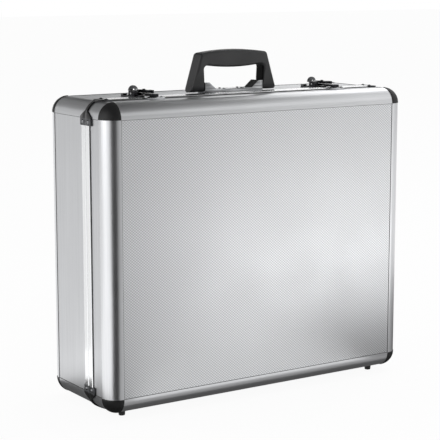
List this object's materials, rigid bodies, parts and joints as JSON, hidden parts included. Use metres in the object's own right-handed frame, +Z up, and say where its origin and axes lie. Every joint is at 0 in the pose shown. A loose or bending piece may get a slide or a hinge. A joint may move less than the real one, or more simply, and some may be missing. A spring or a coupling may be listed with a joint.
{
  "type": "aluminium case",
  "caption": "Upright carrying case of boards framed by rounded aluminium edges, with black corner caps, a hinged lid, drawn hook latches with locks and a folding handle.",
  "frame": {"origin": "on the floor under the middle of the case, at the level of the feet's soles", "axes": "+X along the width, +Y from the lid to the back, +Z up; the lid faces -Y"},
  "size_m": [0.4606, 0.1552, 0.4448],
  "materials": {
    "satin_aluminium": "satin anodised",
    "textured_board": "fibreboard faced with a finely dimpled aluminium sheet",
    "faced_board": "fibreboard faced with a smooth aluminium sheet",
    "lining": "foam-backed cloth",
    "black_plastic": "moulded",
    "foot_rubber": "matte",
    "chrome": "bright plated",
    "dark_metal": "gunmetal",
    "zinc_steel": "zinc plated"
  },
  "bodies": {
    "case_base": {"back_bottom_edge": "satin_aluminium", "back_left_edge": "satin_aluminium", "back_lining": "lining", "back_panel": "textured_board", "back_right_edge": "satin_aluminium", "back_top_edge": "satin_aluminium", "base_bottom_rim": "satin_aluminium", "base_bottom_wall": "faced_board", "base_corner_braces": "zinc_steel", "base_corner_caps": "black_plastic", "base_depth_edges": "satin_aluminium", "base_feet": "foot_rubber", "base_left_hinge_leaf": "zinc_steel", "base_left_rim": "satin_aluminium", "base_left_wall": "faced_board", "base_right_hinge_leaf": "zinc_steel", "base_right_rim": "satin_aluminium", "base_right_wall": "faced_board", "base_rivets": "zinc_steel", "base_top_rim": "satin_aluminium", "base_top_wall": "faced_board", "base_wall_linings": "lining", "handle_pins": "zinc_steel", "handle_plate": "zinc_steel", "hinge_pins": "zinc_steel", "left_latch_base": "dark_metal", "right_latch_base": "dark_metal", "top_fitting_rivets": "zinc_steel"},
    "lid": {"front_bottom_edge": "satin_aluminium", "front_left_edge": "satin_aluminium", "front_lining": "lining", "front_panel": "textured_board", "front_right_edge": "satin_aluminium", "front_top_edge": "satin_aluminium", "left_latch_catch": "chrome", "lid_bottom_rim": "satin_aluminium", "lid_bottom_wall": "faced_board", "lid_corner_braces": "zinc_steel", "lid_corner_caps": "black_plastic", "lid_depth_edges": "satin_aluminium", "lid_feet": "foot_rubber", "lid_left_hinge_leaf": "zinc_steel", "lid_left_rim": "satin_aluminium", "lid_left_wall": "faced_board", "lid_right_hinge_leaf": "zinc_steel", "lid_right_rim": "satin_aluminium", "lid_right_wall": "faced_board", "lid_rivets": "zinc_steel", "lid_top_rim": "satin_aluminium", "lid_top_wall": "faced_board", "lid_wall_linings": "lining", "right_latch_catch": "chrome"},
    "handle": {"handle_grip": "black_plastic"},
    "left_lever": {"left_latch_lever": "dark_metal"},
    "right_lever": {"right_latch_lever": "dark_metal"},
    "left_hook": {"left_latch_hook": "chrome"},
    "right_hook": {"right_latch_hook": "chrome"},
    "left_plug": {"left_lock_plug": "chrome"},
    "right_plug": {"right_lock_plug": "chrome"}
  },
  "joints": [
    {"name": "lid_hinge", "type": "hinge", "parent": "case_base", "child": "lid", "pos_m": [0, -0.026, 0.0038], "axis": [1, 0, 0], "range_deg": [0, 95]},
    {"name": "handle_pivot", "type": "hinge", "parent": "case_base", "child": "handle", "pos_m": [0, 0.001, 0.4], "axis": [1, 0, 0], "range_deg": [-75, 75]},
    {"name": "left_lever_pivot", "type": "hinge", "parent": "case_base", "child": "left_lever", "pos_m": [-0.1395, -0.009, 0.395], "axis": [1, 0, 0], "range_deg": [0, 110]},
    {"name": "left_hook_pivot", "type": "hinge", "parent": "left_lever", "child": "left_hook", "pos_m": [-0.1395, -0.0035, 0.3935], "axis": [1, 0, 0], "range_deg": [-126.5, 0]},
    {"name": "left_plug_turn", "type": "hinge", "parent": "left_lever", "child": "left_plug", "pos_m": [-0.1395, 0.0078, 0.398], "axis": [0, 0, 1], "range_deg": [0, 90]},
    {"name": "right_lever_pivot", "type": "hinge", "parent": "case_base", "child": "right_lever", "pos_m": [0.1395, -0.009, 0.395], "axis": [1, 0, 0], "range_deg": [0, 110]},
    {"name": "right_hook_pivot", "type": "hinge", "parent": "right_lever", "child": "right_hook", "pos_m": [0.1395, -0.0035, 0.3935], "axis": [1, 0, 0], "range_deg": [-126.5, 0]},
    {"name": "right_plug_turn", "type": "hinge", "parent": "right_lever", "child": "right_plug", "pos_m": [0.1395, 0.0078, 0.398], "axis": [0, 0, 1], "range_deg": [0, 90]}
  ],
  "couplings": [
    {"joint": "left_hook_pivot", "follows": "left_lever_pivot", "ratio": -1.15},
    {"joint": "right_hook_pivot", "follows": "right_lever_pivot", "ratio": -1.15}
  ]
}
